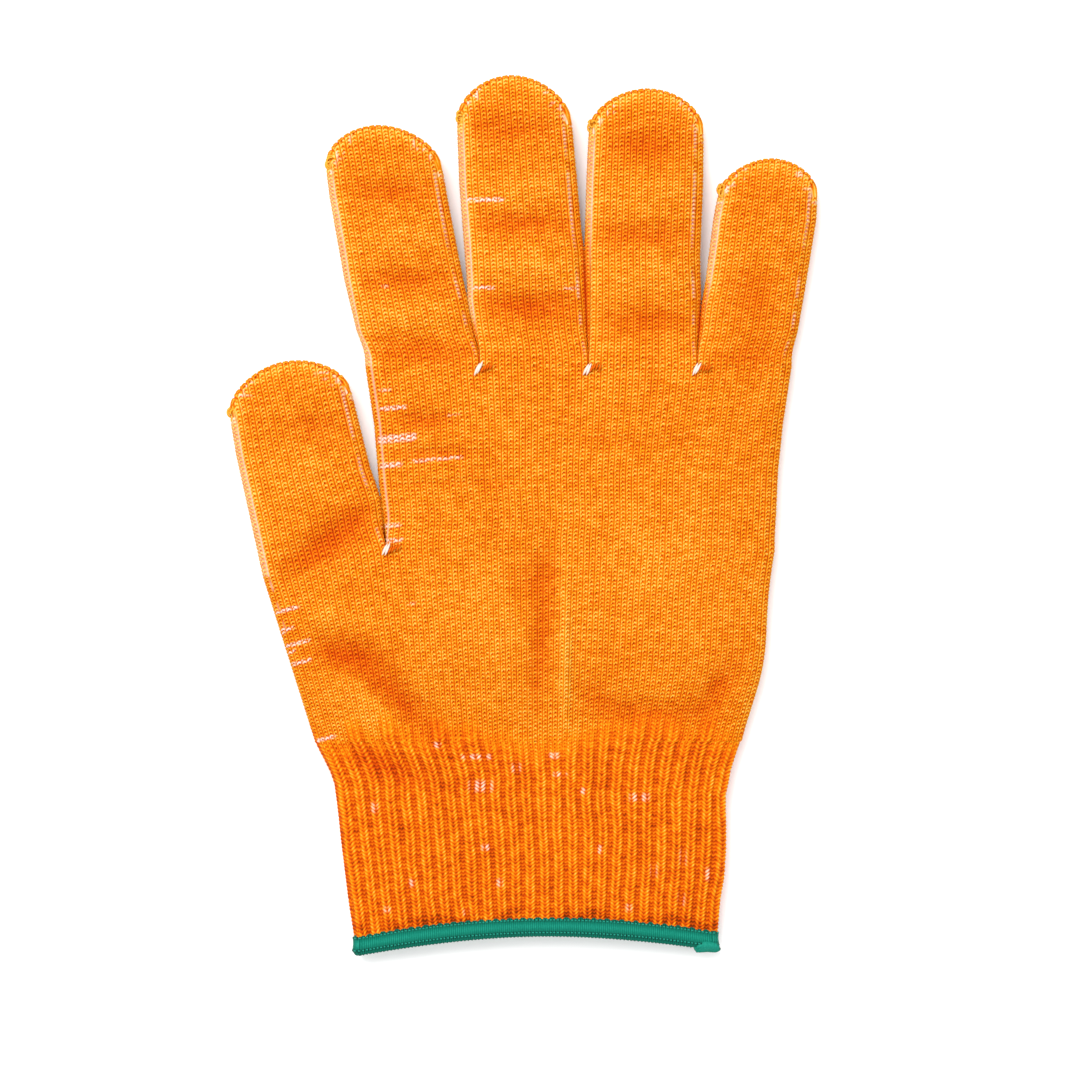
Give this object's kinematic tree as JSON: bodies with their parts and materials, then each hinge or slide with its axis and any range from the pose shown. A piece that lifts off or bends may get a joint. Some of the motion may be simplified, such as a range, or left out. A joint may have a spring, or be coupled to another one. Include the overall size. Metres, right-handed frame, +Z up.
{
  "type": "cut resistant glove",
  "caption": "Seamless knitted cut resistant glove with splayed fingers, ribbed cuff and overlocked hem, lying flat with its palm side up",
  "frame": {"origin": "on the resting face under the palm, halfway along the glove, on the middle of the cuff", "axes": "+Y to the fingertips, +X to the little finger, +Z up out of the palm"},
  "size_m": [0.1404, 0.213, 0.0094],
  "materials": {
    "face_yarn": "orange cut resistant face yarn, plain knit, matt with a slight sheen",
    "plating_yarn": "white plating yarn on the inside, matt",
    "elastic_yarn": "pale covered elastic yarn",
    "hem_thread": "green overlock thread, slightly shiny"
  },
  "bodies": {
    "palm": {"palm_upper_face": "face_yarn", "palm_upper_lining": "plating_yarn", "palm_heel_face": "face_yarn", "palm_heel_lining": "plating_yarn", "crotch_tacks": "face_yarn"},
    "cuff": {"cuff_rib_face": "face_yarn", "cuff_rib_lining": "plating_yarn", "cuff_elastic_rows": "elastic_yarn", "hem_overlock_thread": "hem_thread", "hem_needle_stitches": "hem_thread", "hem_thread_tail": "hem_thread"},
    "thumb_mound": {"thumb_mound_face": "face_yarn", "thumb_mound_lining": "plating_yarn"},
    "thumb_base": {"thumb_base_face": "face_yarn", "thumb_base_lining": "plating_yarn"},
    "thumb_tip": {"thumb_tip_face": "face_yarn", "thumb_tip_lining": "plating_yarn", "thumb_tip_yarn_tail": "face_yarn"},
    "index_base": {"index_base_face": "face_yarn", "index_base_lining": "plating_yarn"},
    "index_middle": {"index_middle_face": "face_yarn", "index_middle_lining": "plating_yarn"},
    "index_tip": {"index_tip_face": "face_yarn", "index_tip_lining": "plating_yarn", "index_tip_yarn_tail": "face_yarn"},
    "middle_base": {"middle_base_face": "face_yarn", "middle_base_lining": "plating_yarn"},
    "middle_middle": {"middle_middle_face": "face_yarn", "middle_middle_lining": "plating_yarn"},
    "middle_tip": {"middle_tip_face": "face_yarn", "middle_tip_lining": "plating_yarn", "middle_tip_yarn_tail": "face_yarn"},
    "ring_base": {"ring_base_face": "face_yarn", "ring_base_lining": "plating_yarn"},
    "ring_middle": {"ring_middle_face": "face_yarn", "ring_middle_lining": "plating_yarn"},
    "ring_tip": {"ring_tip_face": "face_yarn", "ring_tip_lining": "plating_yarn", "ring_tip_yarn_tail": "face_yarn"},
    "little_base": {"little_base_face": "face_yarn", "little_base_lining": "plating_yarn"},
    "little_middle": {"little_middle_face": "face_yarn", "little_middle_lining": "plating_yarn"},
    "little_tip": {"little_tip_face": "face_yarn", "little_tip_lining": "plating_yarn", "little_tip_yarn_tail": "face_yarn"}
  },
  "joints": [
    {"name": "index_knuckle", "type": "hinge", "parent": "palm", "child": "index_base", "pos_m": [-0.0276, 0.036, 0.009], "axis": [1, 0, 0], "range_deg": [0, 85]},
    {"name": "index_middle_bend", "type": "hinge", "parent": "index_base", "child": "index_middle", "pos_m": [-0.03188, 0.058, 0.009], "axis": [1, 0, 0], "range_deg": [0, 95]},
    {"name": "index_end_bend", "type": "hinge", "parent": "index_middle", "child": "index_tip", "pos_m": [-0.03547, 0.0765, 0.009], "axis": [1, 0, 0], "range_deg": [0, 60]},
    {"name": "middle_knuckle", "type": "hinge", "parent": "palm", "child": "middle_base", "pos_m": [-0.00085, 0.036, 0.009], "axis": [1, 0, 0], "range_deg": [0, 85]},
    {"name": "middle_middle_bend", "type": "hinge", "parent": "middle_base", "child": "middle_middle", "pos_m": [-0.0029, 0.061, 0.009], "axis": [1, 0, 0], "range_deg": [0, 95]},
    {"name": "middle_end_bend", "type": "hinge", "parent": "middle_middle", "child": "middle_tip", "pos_m": [-0.0047, 0.083, 0.009], "axis": [1, 0, 0], "range_deg": [0, 60]},
    {"name": "ring_knuckle", "type": "hinge", "parent": "palm", "child": "ring_base", "pos_m": [0.0253, 0.036, 0.009], "axis": [1, 0, 0], "range_deg": [0, 85]},
    {"name": "ring_middle_bend", "type": "hinge", "parent": "ring_base", "child": "ring_middle", "pos_m": [0.02563, 0.06, 0.009], "axis": [1, 0, 0], "range_deg": [0, 95]},
    {"name": "ring_end_bend", "type": "hinge", "parent": "ring_middle", "child": "ring_tip", "pos_m": [0.02591, 0.081, 0.009], "axis": [1, 0, 0], "range_deg": [0, 60]},
    {"name": "little_knuckle", "type": "hinge", "parent": "palm", "child": "little_base", "pos_m": [0.04985, 0.036, 0.009], "axis": [1, 0, 0], "range_deg": [0, 85]},
    {"name": "little_middle_bend", "type": "hinge", "parent": "little_base", "child": "little_middle", "pos_m": [0.05208, 0.054, 0.009], "axis": [1, 0, 0], "range_deg": [0, 95]},
    {"name": "little_end_bend", "type": "hinge", "parent": "little_middle", "child": "little_tip", "pos_m": [0.054, 0.0695, 0.009], "axis": [1, 0, 0], "range_deg": [0, 60]},
    {"name": "thumb_swing", "type": "hinge", "parent": "palm", "child": "thumb_mound", "pos_m": [-0.04502, -0.02605, 0.009], "axis": [-0.4509, -0.8926, 0], "range_deg": [-45, 0]},
    {"name": "thumb_base_bend", "type": "hinge", "parent": "thumb_mound", "child": "thumb_base", "pos_m": [-0.0511, -0.01146, 0.009], "axis": [-0.9774, -0.2113, 0], "range_deg": [-45, 0]},
    {"name": "thumb_end_bend", "type": "hinge", "parent": "thumb_base", "child": "thumb_tip", "pos_m": [-0.0566, 0.01395, 0.009], "axis": [-0.9774, -0.2113, 0], "range_deg": [-75, 0]},
    {"name": "wrist_bend", "type": "hinge", "parent": "palm", "child": "cuff", "pos_m": [-0.0023, -0.0542, 0.009], "axis": [-1, 0, 0], "range_deg": [0, 50]}
  ],
  "couplings": [
    {"joint": "index_end_bend", "follows": "index_middle_bend", "ratio": 0.63},
    {"joint": "middle_end_bend", "follows": "middle_middle_bend", "ratio": 0.63},
    {"joint": "ring_end_bend", "follows": "ring_middle_bend", "ratio": 0.63},
    {"joint": "little_end_bend", "follows": "little_middle_bend", "ratio": 0.63}
  ]
}
